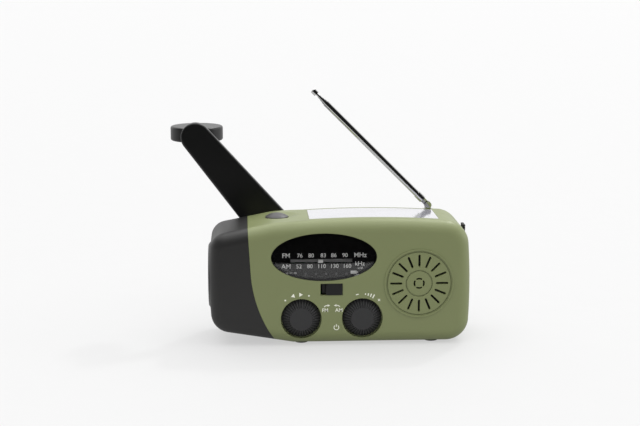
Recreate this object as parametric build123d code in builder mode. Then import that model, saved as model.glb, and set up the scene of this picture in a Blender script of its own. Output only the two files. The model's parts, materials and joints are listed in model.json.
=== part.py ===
from build123d import *
import os
from math import acos, cos, pi, radians, sin, sqrt, tan

# Hand-crank emergency radio, in millimetres.
# X runs to the right, Y to the rear and Z up, with the dial, knobs and speaker facing -Y.
# The origin is under the middle of the casing, on the plane that the feet stand on.

# ---- driving dimensions -------------------------------------------------------------

casing_length = 125.0
casing_depth = 40.0
casing_height = 60.2
foot_proud = 0.8
wall = 2.0
front_round = 6.0
rear_round = 4.0
split_y = 3.0           # where the front and rear shells meet
seam = 0.1              # gap along every parting line
fit = 0.05              # radial clearance of a shaft in its bore
gap = 0.3               # clearance between pieces that move past each other

window_radii = (25.0, 11.4)
window_centre = (-8.0, 43.3)
pointer_rest_x = -9.5
well_radius = 9.75
well_depth = 3.1
knob_radius = 9.2
knob_face_radius = 5.8
knob_proud = 1.4
knob_z = 13.4
tuning_x = -18.9
volume_x = 10.3
shaft_radius = 3.0
grille_centre = (37.4, 30.1)
grille_bead_radius = 16.35
panel_length = 62.2
panel_width = 24.6
panel_x = 16.4
panel_y = 0.3
button_centre = (-29.7, 3.0)
button_radius = 5.5
lamp_z = 31.0
bezel_radius = 16.0

gear_module = 0.6
pressure = radians(25)
addendum = 0.48
dedendum = 0.63
tooth_thinning = 0.05
gear_thickness = 2.5

crank_centre = (-26.0, 43.0)
crank_angle = 129.5
crank_reach = 68.0
arm_hub_radius = 10.5
arm_tip_radius = 7.3
arm_thickness = 5.0
crank_knob_radius = 13.25
crank_knob_thickness = 7.2

aerial_x = 46.0
aerial_inset = 3.0      # rod's plane in from the rear face
aerial_rise = 0.6       # pivot above the top of the casing
aerial_lean = 45.0
tube_radii = (1.6, 1.35, 1.1, 0.85, 0.6)
tube_starts = (3.8, 12.0, 14.0, 16.0, 18.0)
tube_ends = (72.3, 73.7, 75.2, 77.0, 78.6)
tube_wall = 0.2

cell_radius = 7.1
cell_length = 49.5
cell_left_x = 0.0

# ---- worked out from them -----------------------------------------------------------

half = casing_length / 2
front = -casing_depth / 2
rear = casing_depth / 2
bottom = foot_proud
top = bottom + casing_height
middle_z = 30.0
inner_front = front + wall
inner_rear = rear - wall

well_floor_y = front + well_depth
well_backing = 1.0
plate_y = inner_front + 0.8
plate_thickness = 0.8
train_y = well_floor_y + well_backing + gap
train_thickness = 2.0
board_y = front + 11.0
board_thickness = 1.4

dial_teeth = 15
idler_teeth = 14
dial_pitch = gear_module * dial_teeth / 2
idler_pitch = gear_module * idler_teeth / 2
idler_lower_z = knob_z + dial_pitch + idler_pitch
idler_upper_z = idler_lower_z + 2 * idler_pitch
rack_z = idler_upper_z + idler_pitch
rack_teeth = 14
rack_pitch = pi * gear_module
rack_half = rack_teeth * rack_pitch / 2
rack_top_z = rack_z + 3.5
guide_z = rack_z + 2.1
guide_radius = 0.6
pointer_travel = 12.0
pointer_z = 40.95

crank_teeth = 40
pinion_teeth = 10
second_teeth = 34
third_teeth = 30


def step_to(start, distance, angle):
    """Return the point at a distance and an angle, in degrees, from start."""
    return (
        start[0] + distance * cos(radians(angle)),
        start[1] + distance * sin(radians(angle)),
    )


first_angle = -50.1
second_angle = 215.3
third_angle = 230.0
first_centre = step_to(crank_centre, gear_module * (crank_teeth + pinion_teeth) / 2, first_angle)
second_centre = step_to(first_centre, gear_module * (second_teeth + pinion_teeth) / 2, second_angle)
dynamo_centre = step_to(second_centre, gear_module * (third_teeth + pinion_teeth) / 2, third_angle)
layer_gap = 1.0
crank_layer = inner_rear - 1.5
second_layer = crank_layer - gear_thickness - layer_gap
third_layer = second_layer - gear_thickness - layer_gap
gear_plate_y = third_layer - gear_thickness - 1.8
gear_plate_thickness = 1.2
dynamo_radius = 9.4
dynamo_length = 11.0

arm_front = rear + 0.6
arm_back = arm_front + arm_thickness
crank_tip = step_to(crank_centre, crank_reach, crank_angle)
hinge_y = arm_back + 4.8

aerial_y = rear - aerial_inset
aerial_z = top + aerial_rise
trough_half = 2.75
trough_floor_z = aerial_z - tube_radii[0] - 0.3 - gap
aerial_plane = Plane(
    origin=(aerial_x, aerial_y, aerial_z),
    x_dir=(0, 1, 0),
    z_dir=(-cos(radians(aerial_lean)), 0, sin(radians(aerial_lean))),
)

panel_floor_z = top - 2.6
cell_y = inner_rear - 0.5 - cell_radius
cell_z = bottom + wall + 1.6 + cell_radius


# ---- shapes used more than once -----------------------------------------------------

def block(x, y, z, mode=Mode.ADD):
    """Add a box that spans the three (low, high) pairs."""
    with Locations(((x[0] + x[1]) / 2, (y[0] + y[1]) / 2, (z[0] + z[1]) / 2)):
        Box(x[1] - x[0], y[1] - y[0], z[1] - z[0], mode=mode)


def pin_y(centre, radius, y, mode=Mode.ADD):
    """Add a cylinder along Y, about an (x, z) centre."""
    with BuildSketch(Plane.XZ.offset(-y[1])) as disc:
        with Locations(centre):
            Circle(radius)
    extrude(disc.sketch, amount=y[1] - y[0], mode=mode)


def pin_z(centre, radius, z, mode=Mode.ADD):
    """Add a cylinder along Z, about an (x, y) centre."""
    with BuildSketch(Plane.XY.offset(z[0])) as disc:
        with Locations(centre):
            Circle(radius)
    extrude(disc.sketch, amount=z[1] - z[0], mode=mode)


def pin_x(centre, radius, x, mode=Mode.ADD):
    """Add a cylinder along X, about a (y, z) centre."""
    with BuildSketch(Plane.YZ.offset(x[0])) as disc:
        with Locations(centre):
            Circle(radius)
    extrude(disc.sketch, amount=x[1] - x[0], mode=mode)


def oval_y(radii, y, mode=Mode.ADD):
    """Add an elliptical plate at the dial window, along Y."""
    with BuildSketch(Plane.XZ.offset(-y[1])) as oval:
        with Locations(window_centre):
            Ellipse(*radii)
    extrude(oval.sketch, amount=y[1] - y[0], mode=mode)


def turn_y(centre, profile, mode=Mode.ADD):
    """Revolve a profile of (radius, y) points about the Y axis through an (x, z) centre."""
    with BuildSketch(Plane.XY.offset(centre[1])) as section:
        with BuildLine():
            Polyline(*[(centre[0] + radius, y) for radius, y in profile], close=True)
        make_face()
    revolve(section.sketch, axis=Axis((centre[0], 0, centre[1]), (0, 1, 0)), mode=mode)


def turn_x(centre, profile, mode=Mode.ADD):
    """Revolve a profile of (x, radius) points about the X axis through a (y, z) centre."""
    with BuildSketch(Plane.XY.offset(centre[1])) as section:
        with BuildLine():
            Polyline(*[(x, centre[0] + radius) for x, radius in profile], close=True)
        make_face()
    revolve(section.sketch, axis=Axis((0, centre[0], centre[1]), (1, 0, 0)), mode=mode)


def cross_recess(centre, reach, y):
    """Cut a cross recess for a screwdriver along Y, about an (x, z) centre."""
    x, z = centre
    block((x - reach, x + reach), y, (z - 0.3, z + 0.3), Mode.SUBTRACT)
    block((x - 0.3, x + 0.3), y, (z - reach, z + reach), Mode.SUBTRACT)


def gear_y(centre, teeth, tooth_angle, y, mode=Mode.ADD):
    """Add an involute spur gear along Y, with a tooth centred on tooth_angle in degrees."""
    pitch = gear_module * teeth / 2
    base = pitch * cos(pressure)
    root = pitch - dedendum
    tip = pitch + addendum
    half_tooth = pi / 2 / teeth - tooth_thinning / pitch + tan(pressure) - pressure
    flank = [(root, half_tooth)]
    for radius in (max(base, root + 0.1), (max(base, root) + pitch) / 2, pitch, tip):
        roll = acos(min(1.0, base / radius))
        flank.append((radius, half_tooth - (tan(roll) - roll)))
    points = []
    for tooth in range(teeth):
        middle = radians(tooth_angle) + 2 * pi * tooth / teeth
        points += [(r * cos(middle - a), r * sin(middle - a)) for r, a in flank]
        points += [(r * cos(middle + a), r * sin(middle + a)) for r, a in reversed(flank)]
    with BuildSketch(Plane.XZ.offset(-y[1])) as outline:
        with BuildLine():
            Polyline(*[(centre[0] + px, centre[1] + pz) for px, pz in points], close=True)
        make_face()
    extrude(outline.sketch, amount=y[1] - y[0], mode=mode)


def casing_form(inset):
    """Return the casing's rounded form, moved inwards by inset on every side."""
    with BuildPart() as form:
        with BuildSketch(Plane.XZ.offset(inset - rear)) as outline:
            with BuildLine():
                end_right = ThreePointArc(
                    (half - 1.0, bottom), (half, middle_z), (half - 1.8, top - 2.2)
                )
                crown = ThreePointArc(end_right @ 1, (9.0, top), (30.0 - half, top - 2.0))
                slope = Line(crown @ 1, (1.2 - half, top - 7.6))
                end_left = ThreePointArc(
                    slope @ 1, (-half, middle_z), (1.4 - half, bottom + 6.4)
                )
                under = Line(end_left @ 1, (40.0 - half, bottom))
                Line(under @ 1, end_right @ 0)
            make_face()
            corners = outline.vertices()
            fillet(corners.sort_by_distance((half, top)).first, 12.0)
            corners = outline.vertices()
            fillet(corners.sort_by_distance((half, bottom)).first, 11.0)
            corners = outline.vertices()
            fillet(corners.sort_by_distance((-half, top - 7.5)).first, 8.0)
            corners = outline.vertices()
            fillet(corners.sort_by_distance((-half, bottom + 6.0)).first, 9.5)
            corners = outline.vertices()
            fillet(corners.sort_by_distance((30.0 - half, top - 2.0)).first, 25.0)
            if inset > 0:
                offset(amount=-inset, mode=Mode.REPLACE)
        extrude(amount=casing_depth - 2 * inset)
        fillet(form.faces().sort_by(Axis.Y).first.edges(), front_round - inset)
        fillet(form.faces().sort_by(Axis.Y).last.edges(), rear_round - inset)
    return form.part


def side_of_parting(far_x, shift):
    """Return everything between the lamp head's swept parting line and far_x."""
    with BuildPart() as zone:
        with BuildSketch(Plane.XZ.offset(-casing_depth)):
            with BuildLine():
                upper = Line((shift - 44.5, top + 3), (shift - 42.9, 36.0))
                sweep_line = TangentArc(upper @ 1, (shift - 28.5, -1.0), tangent=upper % 1)
                Polyline(sweep_line @ 1, (far_x, -1.0), (far_x, top + 3), upper @ 0)
            make_face()
        extrude(amount=2 * casing_depth)
    return zone.part


outer_form = casing_form(0)
inner_form = casing_form(wall)
head_side = side_of_parting(-half - 20, seam)
casing_side = side_of_parting(half + 20, 0)

button_x, button_y = button_centre
button_seat_z = top - 1.9


def cut_top_features():
    """Cut the light button's dish and hole and the solar panel's pocket into a shell."""
    pin_z(button_centre, button_radius + gap, (top - 8, top + 5), Mode.SUBTRACT)
    with Locations((button_x, button_y, button_seat_z + 28.6)):
        Sphere(29.5, mode=Mode.SUBTRACT)
    block(
        (panel_x - panel_length / 2, panel_x + panel_length / 2),
        (panel_y - panel_width / 2, panel_y + panel_width / 2),
        (panel_floor_z, top + 5),
        Mode.SUBTRACT,
    )


def keep_panel_floor():
    """Leave a floor under the solar panel's pocket and a collar round the button."""
    block(
        (panel_x - panel_length / 2 - wall, panel_x + panel_length / 2 + wall),
        (panel_y - panel_width / 2 - wall, panel_y + panel_width / 2 + wall),
        (panel_floor_z - 1.2, top),
        Mode.SUBTRACT,
    )
    pin_z(button_centre, button_radius + gap + 3.4, (top - 4.0, top), Mode.SUBTRACT)


screw_places = [(half - 8.0, top - 7.0), (half - 9.0, bottom + 6.7), (-4.4, bottom + 5.7)]
screw_boss = 2.6
screw_hole = 1.2
screw_head = 2.2

# ---- casing -------------------------------------------------------------------------

with BuildPart() as front_hollow:
    add(inner_form)
    for knob_x in (tuning_x, volume_x):
        pin_y(
            (knob_x, knob_z),
            well_radius + 1.2,
            (front, well_floor_y + well_backing),
            Mode.SUBTRACT,
        )
    keep_panel_floor()
    for place in screw_places:
        pin_y(place, screw_boss, (front, split_y), Mode.SUBTRACT)

slot_x = (-9.7, 0.9)
slot_z = (24.8, 30.5)
grille_x, grille_z = grille_centre
grille_plane = Plane.XZ.offset(-front)

with BuildPart() as front_shell:
    add(outer_form)
    add(front_hollow.part, mode=Mode.SUBTRACT)
    block((-half - 5, half + 5), (split_y - seam / 2, rear + 5), (-5, top + 5), Mode.SUBTRACT)
    add(head_side, mode=Mode.SUBTRACT)
    oval_y((window_radii[0] + 0.15, window_radii[1] + 0.15), (front - 1, inner_front), Mode.SUBTRACT)
    oval_y((window_radii[0] + 1.1, window_radii[1] + 1.1), (inner_front, plate_y + 3), Mode.SUBTRACT)
    for knob_x in (tuning_x, volume_x):
        pin_y((knob_x, knob_z), well_radius, (front - 2, well_floor_y), Mode.SUBTRACT)
        pin_y((knob_x, knob_z), shaft_radius + gap, (front, board_y), Mode.SUBTRACT)
    block(slot_x, (front - 1, inner_front + 1), slot_z, Mode.SUBTRACT)
    for place in screw_places:
        pin_y(place, screw_hole, (split_y - 12, split_y + 1), Mode.SUBTRACT)
    cut_top_features()
    with BuildSketch(grille_plane.offset(0.35)):
        with Locations(grille_centre):
            Circle(grille_bead_radius + 0.35)
            Circle(grille_bead_radius - 0.35, mode=Mode.SUBTRACT)
    extrude(amount=-0.6)
    with BuildSketch(grille_plane):
        with Locations(grille_centre):
            Circle(grille_bead_radius - 0.8)
            Circle(grille_bead_radius - 1.3, mode=Mode.SUBTRACT)
            Circle(6.5)
            Circle(5.9, mode=Mode.SUBTRACT)
    extrude(amount=-0.5, mode=Mode.SUBTRACT)
    with BuildSketch(grille_plane) as grille_slots:
        with Locations(grille_centre):
            with PolarLocations(11.0, 16):
                SlotOverall(5.9, 1.05)
            for arc_start in (-27, 63, 153, 243):
                with BuildLine() as arc_path:
                    CenterArc((0, 0), 2.3, arc_start, 54)
                SlotArc(arc_path.wire(), 0.8)
    extrude(amount=-wall - 1, mode=Mode.SUBTRACT)
front_shell.part.label = "front_shell"

port_y = (4.2, 17.0)
port_z = (31.0, 51.0)
port_seat_x = half - 1.4
usb_centre = (8.3, 41.5)
micro_centre = (14.4, 41.5)
door_x = (cell_left_x - 1.5, cell_left_x + cell_length)
door_z = (cell_z - 6.7, cell_z + 7.8)
door_thickness = 1.6
door_screw_place = (door_x[1] - 4.5, cell_z)

with BuildPart() as rear_hollow:
    add(inner_form)
    keep_panel_floor()
    block((-40, half), (aerial_y - trough_half - 1.4, rear), (trough_floor_z - 1.4, top), Mode.SUBTRACT)
    pin_z((aerial_x, aerial_y), 3.4, (trough_floor_z - 8, top), Mode.SUBTRACT)
    for place in screw_places:
        pin_y(place, screw_boss, (split_y, rear), Mode.SUBTRACT)
    block(
        (port_seat_x - 1.6, half),
        (port_y[0] - 1, port_y[1]),
        (port_z[0] - 1, port_z[1] + 1),
        Mode.SUBTRACT,
    )

with BuildPart() as rear_shell:
    add(outer_form)
    add(rear_hollow.part, mode=Mode.SUBTRACT)
    block((-half - 5, half + 5), (front - 5, split_y + seam / 2), (-5, top + 5), Mode.SUBTRACT)
    add(head_side, mode=Mode.SUBTRACT)
    cut_top_features()
    block((-38, half + 5), (aerial_y - trough_half, rear + 5), (trough_floor_z, top + 5), Mode.SUBTRACT)
    pin_z((aerial_x, aerial_y), 1.8 + fit, (trough_floor_z - 9, top), Mode.SUBTRACT)
    pin_y(crank_centre, shaft_radius + fit, (inner_rear - 1, rear + 1), Mode.SUBTRACT)
    for place in screw_places:
        pin_y(place, screw_hole + 0.3, (split_y - 1, rear + 1), Mode.SUBTRACT)
        pin_y(place, screw_head + 0.2, (rear - 2.5, rear + 1), Mode.SUBTRACT)
    block(door_x, (rear - door_thickness, rear + 1), door_z, Mode.SUBTRACT)
    block(
        (door_x[0] + 1.5, door_x[1] - 1.5),
        (rear - 4, rear),
        (door_z[0] + 1.5, door_z[1] - 1.5),
        Mode.SUBTRACT,
    )
    block(
        (port_seat_x, half + 5),
        (port_y[0] - gap, port_y[1] + gap),
        (port_z[0] - gap, port_z[1] + gap),
        Mode.SUBTRACT,
    )
    block((half - 6, half), (usb_centre[0] - 3.3, usb_centre[0] + 3.3), (34.8, 48.2), Mode.SUBTRACT)
    block((half - 6, half), (micro_centre[0] - 1.4, micro_centre[0] + 1.4), (37.6, 45.4), Mode.SUBTRACT)
rear_shell.part.label = "rear_shell"

with BuildPart() as lamp_head:
    add(outer_form)
    add(casing_side, mode=Mode.SUBTRACT)
    add(inner_form, mode=Mode.SUBTRACT)
    pin_x((0, lamp_z), bezel_radius + fit, (-half - 5, 5 - half), Mode.SUBTRACT)
lamp_head.part.label = "lamp_head"

with BuildPart() as battery_door:
    block(
        (door_x[0] + 0.15, door_x[1] - 0.15),
        (rear - door_thickness, rear),
        (door_z[0] + 0.15, door_z[1] - 0.15),
    )
    fillet(battery_door.edges().filter_by(Axis.Y), 1.0)
    for rib in range(5):
        rib_x = door_x[0] + 6 + 1.6 * rib
        block((rib_x, rib_x + 0.8), (rear - 0.5, rear + 1), (cell_z - 4, cell_z + 5), Mode.SUBTRACT)
    pin_y(door_screw_place, 1.3, (rear - 3, rear + 1), Mode.SUBTRACT)
    pin_y(door_screw_place, 2.2, (rear - 0.8, rear + 1), Mode.SUBTRACT)
battery_door.part.label = "battery_door"

with BuildPart() as case_screws:
    for place in screw_places:
        pin_y(place, screw_head, (rear - 2.5, rear - 1.3))
        pin_y(place, screw_hole, (split_y - 10, rear - 2.5))
        cross_recess(place, 1.5, (rear - 1.9, rear))
    pin_y(door_screw_place, 2.0, (rear - 0.8, rear - 0.1))
    pin_y(door_screw_place, 1.1, (rear - 2.4, rear - 0.8))
    block(
        (door_screw_place[0] - 1.5, door_screw_place[0] + 1.5),
        (rear - 0.5, rear),
        (cell_z - 0.25, cell_z + 0.25),
        Mode.SUBTRACT,
    )
case_screws.part.label = "case_screws"

foot_radius = 3.5
foot_places = [(x, y) for x in (-18.5, half - 18.0) for y in (-11.0, 11.0)] + [(0.0, 0.0)]
with BuildPart() as feet:
    for foot_place in foot_places:
        pin_z(foot_place, foot_radius, (0, foot_proud))
    fillet(feet.edges().group_by(Axis.Z)[0], 0.4)
feet.part.label = "feet"

lug_y = (9.5, 12.5)
lug_hole = (half - 1.5, bottom + 2.7)
with BuildPart() as strap_lug:
    block((half - 6.5, lug_hole[0]), lug_y, (lug_hole[1] - 2.4, lug_hole[1] + 2.4))
    pin_y(lug_hole, 2.4, lug_y)
    pin_y(lug_hole, 1.3, (lug_y[0] - 1, lug_y[1] + 1), Mode.SUBTRACT)
    add(outer_form, mode=Mode.SUBTRACT)
strap_lug.part.label = "strap_lug"

# ---- solar panel and light button ---------------------------------------------------

panel_seat = 0.1
with BuildPart() as solar_cell:
    block(
        (panel_x - panel_length / 2 + 1.5, panel_x + panel_length / 2 - 1.5),
        (panel_y - panel_width / 2 + 1.5, panel_y + panel_width / 2 - 1.5),
        (panel_floor_z, panel_floor_z + 0.6),
    )
solar_cell.part.label = "solar_cell"

with BuildPart() as solar_cover:
    add(outer_form)
    block((-half - 1, half + 1), (front - 1, rear + 1), (0, panel_floor_z), Mode.SUBTRACT)
    cover_x = (panel_x - panel_length / 2 + panel_seat, panel_x + panel_length / 2 - panel_seat)
    cover_y = (panel_y - panel_width / 2 + panel_seat, panel_y + panel_width / 2 - panel_seat)
    block((-half - 1, cover_x[0]), (front - 1, rear + 1), (0, top + 1), Mode.SUBTRACT)
    block((cover_x[1], half + 1), (front - 1, rear + 1), (0, top + 1), Mode.SUBTRACT)
    block((-half - 1, half + 1), (front - 1, cover_y[0]), (0, top + 1), Mode.SUBTRACT)
    block((-half - 1, half + 1), (cover_y[1], rear + 1), (0, top + 1), Mode.SUBTRACT)
    add(solar_cell.part, mode=Mode.SUBTRACT)
solar_cover.part.label = "solar_cover"

button_top_z = top - 0.2
with BuildPart() as light_button:
    with BuildSketch(Plane.XZ.offset(-button_y)):
        with BuildLine():
            side = Polyline(
                (button_x, button_top_z),
                (button_x, top - 6.0),
                (button_x + button_radius + 1.2, top - 6.0),
                (button_x + button_radius + 1.2, top - 5.0),
                (button_x + button_radius, top - 5.0),
                (button_x + button_radius, top - 1.9),
            )
            TangentArc(side @ 0, side @ 1, tangent=(1, 0))
        make_face()
    revolve(axis=Axis((button_x, button_y, 0), (0, 0, 1)))
light_button.part.label = "light_button"

switch_top_z = top - 7.6
with BuildPart() as light_switch:
    block(
        (button_x - 3, button_x + 3),
        (button_y - 3, button_y + 3),
        (switch_top_z - 3.6, switch_top_z - 0.6),
    )
    pin_z(button_centre, 1.7, (switch_top_z - 0.6, switch_top_z))
    block(
        (button_x - 8, button_x + 6),
        (button_y - 6, button_y + 5),
        (switch_top_z - 4.8, switch_top_z - 3.6),
    )
light_switch.part.label = "light_switch"

# ---- lamp ---------------------------------------------------------------------------

lens_radius = 12.6
with BuildPart() as lamp_bezel:
    turn_x(
        (0, lamp_z),
        [
            (-half - 0.5, lens_radius),
            (-half - 0.5, bezel_radius - 1.2),
            (-half + 0.3, bezel_radius),
            (-half + 3.2, bezel_radius),
            (-half + 3.2, lens_radius + 0.4),
            (-half + 0.9, lens_radius),
        ],
    )
lamp_bezel.part.label = "lamp_bezel"

with BuildPart() as lamp_lens:
    with BuildSketch(Plane.XY.offset(lamp_z)):
        with BuildLine():
            edge = Polyline(
                (-half - 0.4, 0),
                (-half + 2.0, 0),
                (-half + 2.0, lens_radius - 0.1),
                (-half + 0.4, lens_radius - 0.1),
            )
            TangentArc(edge @ 0, edge @ 1, tangent=(0, 1))
        make_face()
    revolve(axis=Axis((0, 0, lamp_z), (1, 0, 0)))
lamp_lens.part.label = "lamp_lens"

with BuildPart() as lamp_reflector:
    turn_x(
        (0, lamp_z),
        [
            (-half + 2.2, lens_radius - 0.8),
            (-half + 5.0, 11.0),
            (-half + 8.5, 8.6),
            (-half + 11.5, 5.0),
            (-half + 12.3, 5.0),
            (-half + 12.3, 6.2),
            (-half + 9.3, 9.6),
            (-half + 5.6, 12.0),
            (-half + 2.2, lens_radius - 0.1),
        ],
    )
lamp_reflector.part.label = "lamp_reflector"

with BuildPart() as lamp_board:
    pin_x((0, lamp_z), 9.0, (-half + 12.3, -half + 13.5))
lamp_board.part.label = "lamp_board"

with BuildPart() as lamp_leds:
    with BuildSketch(Plane.YZ.offset(-half + 12.3)) as led_bases:
        with Locations((0, lamp_z)):
            with PolarLocations(2.7, 3, start_angle=90):
                Circle(1.5)
    extrude(led_bases.sketch, amount=-3.2)
    fillet(lamp_leds.edges().group_by(Axis.X)[0], 1.2)
lamp_leds.part.label = "lamp_leds"

# ---- dial, knobs and tuning drive ---------------------------------------------------

with BuildPart() as dial_window:
    oval_y(window_radii, (front + 0.15, inner_front))
    oval_y((window_radii[0] + 1.0, window_radii[1] + 1.0), (inner_front, plate_y - 0.2))
    oval_y((window_radii[0] - 1.5, window_radii[1] - 1.5), (front + 1.4, plate_y), Mode.SUBTRACT)
dial_window.part.label = "dial_window"

plate_back = plate_y + plate_thickness
plate_x = (tuning_x - rack_half - pointer_travel - 3.4, window_centre[0] + window_radii[0] + 2.5)
plate_z = (window_centre[1] - window_radii[1] - 0.5, window_centre[1] + window_radii[1] + 0.7)
lug_right_x = tuning_x + rack_half + pointer_travel + 1.4
lug_left_x = plate_x[0] + 0.4
guide_y = train_y + train_thickness / 2

with BuildPart() as dial_plate:
    block((window_centre[0] - window_radii[0] - 2.5, plate_x[1]), (plate_y, plate_back), plate_z)
    block(plate_x, (plate_y, plate_back), (plate_z[0], guide_z + 2.5))
    for lug_x in (lug_left_x, lug_right_x):
        block((lug_x, lug_x + 1.4), (plate_back, guide_y + 1.4), (guide_z - 1.8, guide_z + 1.8))
        pin_x((guide_y, guide_z), guide_radius, (lug_x - 1, lug_x + 2.4), Mode.SUBTRACT)
    block(
        (pointer_rest_x - pointer_travel - 2.4, pointer_rest_x + pointer_travel + 3.2),
        (plate_y - 1, plate_back + 1),
        (pointer_z - 0.95, pointer_z + 0.95),
        Mode.SUBTRACT,
    )
dial_plate.part.label = "dial_plate"

with BuildPart() as pointer_guide:
    pin_x((guide_y, guide_z), guide_radius, (lug_left_x, lug_right_x + 1.4))
pointer_guide.part.label = "pointer_guide"

with BuildPart() as dial_pointer:
    rack_half_tooth = rack_pitch / 4 - tooth_thinning
    tip_half = rack_half_tooth - addendum * tan(pressure)
    root_half = rack_half_tooth + dedendum * tan(pressure)
    with BuildSketch(Plane.XZ.offset(-(train_y + train_thickness))):
        with BuildLine():
            rack_points = [(tuning_x - rack_half, rack_top_z), (tuning_x - rack_half, rack_z + dedendum)]
            for tooth in range(rack_teeth):
                tooth_x = tuning_x + (tooth + 0.5) * rack_pitch - rack_half
                rack_points += [
                    (tooth_x - root_half, rack_z + dedendum),
                    (tooth_x - tip_half, rack_z - addendum),
                    (tooth_x + tip_half, rack_z - addendum),
                    (tooth_x + root_half, rack_z + dedendum),
                ]
            rack_points += [(tuning_x + rack_half, rack_z + dedendum), (tuning_x + rack_half, rack_top_z)]
            Polyline(*rack_points, close=True)
        make_face()
    extrude(amount=train_thickness)
    block(
        (pointer_rest_x - 1.1, pointer_rest_x + 1.1),
        (train_y, train_y + 0.7),
        (rack_top_z, pointer_z + 0.7),
    )
    block(
        (pointer_rest_x - 1.1, pointer_rest_x + 1.1),
        (plate_y - 0.7, train_y + 0.7),
        (pointer_z - 0.7, pointer_z + 0.7),
    )
    pin_x((guide_y, guide_z), guide_radius + fit, (plate_x[0], lug_right_x), Mode.SUBTRACT)
dial_pointer.part.label = "dial_pointer"


flute_count = 36
flute_depth = 0.5
knob_rim = 0.8


def knob(knob_x):
    """Return a fluted, tapered control knob with a flat face."""
    base = well_floor_y - gap
    face = front - knob_proud
    shoulder = base - knob_rim
    lean_in = Vector(knob_face_radius - knob_radius, face - shoulder, 0)
    flute_planes = []
    for flute in range(flute_count):
        turn = 2 * pi * flute / flute_count
        outward = Vector(cos(turn), 0, sin(turn))
        flank = outward * lean_in.X + Vector(0, lean_in.Y, 0)
        foot = Vector(knob_x, shoulder, knob_z) + outward * knob_radius - flank * 0.15
        flute_planes.append(Plane(origin=foot, x_dir=flank.cross(outward), z_dir=flank))
    with BuildPart() as body:
        turn_y(
            (knob_x, knob_z),
            [
                (0, base),
                (knob_radius, base),
                (knob_radius, shoulder),
                (knob_face_radius, face),
                (0, face),
            ],
        )
        with BuildSketch(*flute_planes) as flutes:
            with Locations(Rotation(0, 0, 45)):
                Rectangle(flute_depth * sqrt(2), flute_depth * sqrt(2))
        extrude(flutes.sketch, amount=1.4 * lean_in.length, mode=Mode.SUBTRACT)
        pin_y((knob_x, knob_z), shaft_radius, (face + 1.5, base + 1), Mode.SUBTRACT)
    return body.part


with BuildPart() as tuning_knob:
    add(knob(tuning_x))
tuning_knob.part.label = "tuning_knob"

with BuildPart() as volume_knob:
    add(knob(volume_x))
volume_knob.part.label = "volume_knob"

shaft_end_y = front - knob_proud + 1.5
control_front = board_y - 3.2
with BuildPart() as tuning_shaft:
    gear_y((tuning_x, knob_z), dial_teeth, 90, (train_y, train_y + train_thickness))
    pin_y((tuning_x, knob_z), shaft_radius, (shaft_end_y, control_front + 1.2))
tuning_shaft.part.label = "tuning_shaft"

with BuildPart() as volume_shaft:
    pin_y((volume_x, knob_z), shaft_radius, (shaft_end_y, control_front + 1.2))
volume_shaft.part.label = "volume_shaft"

idler_bore = 0.8
train_span = (train_y, train_y + train_thickness)
with BuildPart() as idler_lower:
    gear_y((tuning_x, idler_lower_z), idler_teeth, 270 + 180 / idler_teeth, train_span)
    pin_y((tuning_x, idler_lower_z), idler_bore + fit, (front, board_y), Mode.SUBTRACT)
idler_lower.part.label = "idler_lower"

with BuildPart() as idler_upper:
    gear_y((tuning_x, idler_upper_z), idler_teeth, 270, train_span)
    pin_y((tuning_x, idler_upper_z), idler_bore + fit, (front, board_y), Mode.SUBTRACT)
idler_upper.part.label = "idler_upper"

bracket_y = train_y + train_thickness + 0.5
with BuildPart() as idler_bracket:
    block((tuning_x - 4, tuning_x + 4), (bracket_y, bracket_y + 1), (idler_lower_z - 1.9, idler_upper_z + 3))
    block((tuning_x - 4, tuning_x + 4), (bracket_y + 1, board_y), (idler_upper_z + 1.5, idler_upper_z + 3))
    for axle_z in (idler_lower_z, idler_upper_z):
        pin_y((tuning_x, axle_z), idler_bore, (train_y - 0.1, bracket_y + 1))
idler_bracket.part.label = "idler_bracket"

with BuildPart() as tuning_capacitor:
    block((tuning_x - 6.5, tuning_x + 6.5), (control_front, board_y), (knob_z - 6.5, knob_z + 6.5))
    pin_y((tuning_x, knob_z), shaft_radius + fit, (front, control_front + 1.5), Mode.SUBTRACT)
tuning_capacitor.part.label = "tuning_capacitor"

with BuildPart() as volume_control:
    pin_y((volume_x, knob_z), 6.5, (control_front, board_y))
    block((volume_x - 5, volume_x + 5), (control_front + 1, board_y), (knob_z - 8.5, knob_z))
    pin_y((volume_x, knob_z), shaft_radius + fit, (front, control_front + 1.5), Mode.SUBTRACT)
volume_control.part.label = "volume_control"

slider_travel = 2.4
slider_x = (slot_x[0] + slider_travel + 0.1, slot_x[1] - 0.1)
slot_middle_z = (slot_z[0] + slot_z[1]) / 2
post_x = (slider_x[0] + slider_x[1]) / 2
flange_back = inner_front + gap + 0.5
with BuildPart() as band_slider:
    block(slider_x, (front - 0.4, inner_front + gap), (slot_z[0] + 0.15, slot_z[1] - 0.15))
    fillet(band_slider.edges().filter_by(Axis.Y), 0.7)
    fillet(band_slider.faces().sort_by(Axis.Y).first.edges(), 0.35)
    block(
        (slider_x[0] - 1.6, slider_x[1] + 2.0),
        (inner_front + gap, flange_back),
        (slot_middle_z - 3.1, slot_middle_z + 3.1),
    )
    block(
        (post_x - 1, post_x + 1),
        (flange_back, board_y - 2.3),
        (slot_middle_z - 1, slot_middle_z + 1),
    )
band_slider.part.label = "band_slider"

with BuildPart() as band_switch:
    block((post_x - 6.2, post_x + 3.8), (board_y - 3.6, board_y), (slot_middle_z - 2.6, slot_middle_z + 2.6))
    block(
        (post_x - 1 - slider_travel - gap, post_x + 1 + gap),
        (board_y - 4, board_y - 2.0),
        (slot_middle_z - 1 - gap, slot_middle_z + 1 + gap),
        Mode.SUBTRACT,
    )
band_switch.part.label = "band_switch"

# ---- electronics --------------------------------------------------------------------

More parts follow.
